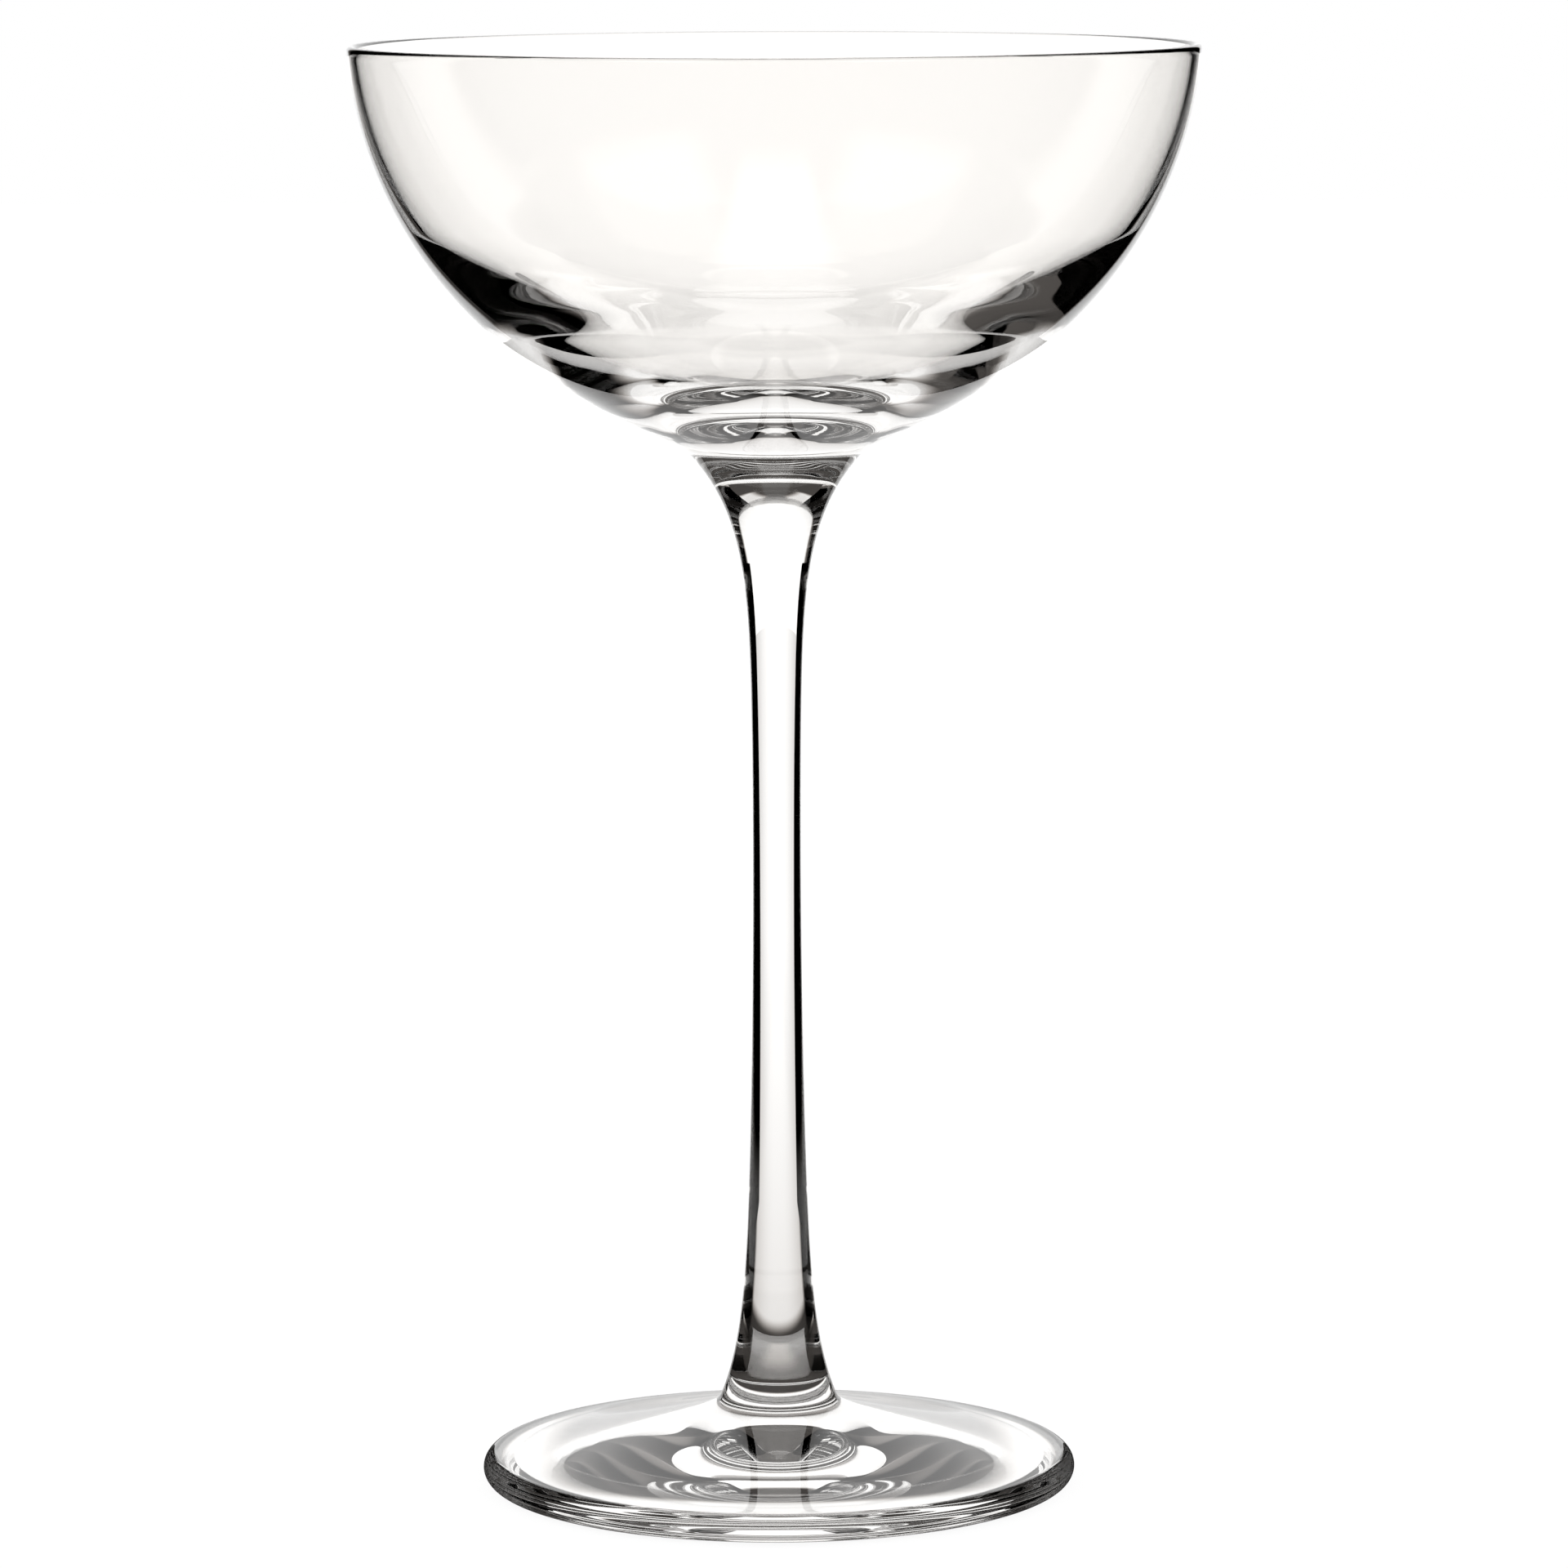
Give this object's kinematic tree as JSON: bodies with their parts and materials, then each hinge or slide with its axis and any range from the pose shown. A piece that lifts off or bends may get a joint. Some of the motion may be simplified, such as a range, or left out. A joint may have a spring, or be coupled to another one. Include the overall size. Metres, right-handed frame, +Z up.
{
  "type": "coupe glass",
  "caption": "Clear stemmed coupe: shallow round thin-walled bowl with a thick base, slim drawn stem and coned round foot that stands on a flat ring.",
  "frame": {"origin": "on the table, at the centre of the foot's rest ring", "axes": "+Z up along the stem's axis from the foot to the rim; X and Y are level and alike"},
  "size_m": [0.104, 0.104, 0.178],
  "materials": {
    "bowl_glass": "clear blown glass, fire polished",
    "stem_glass": "clear drawn glass, fire polished",
    "foot_glass": "clear pressed glass, fire polished, fine wear on the rest ring"
  },
  "bodies": {
    "root": {"bowl": "bowl_glass", "stem": "stem_glass", "foot": "foot_glass"}
  },
  "joints": []
}
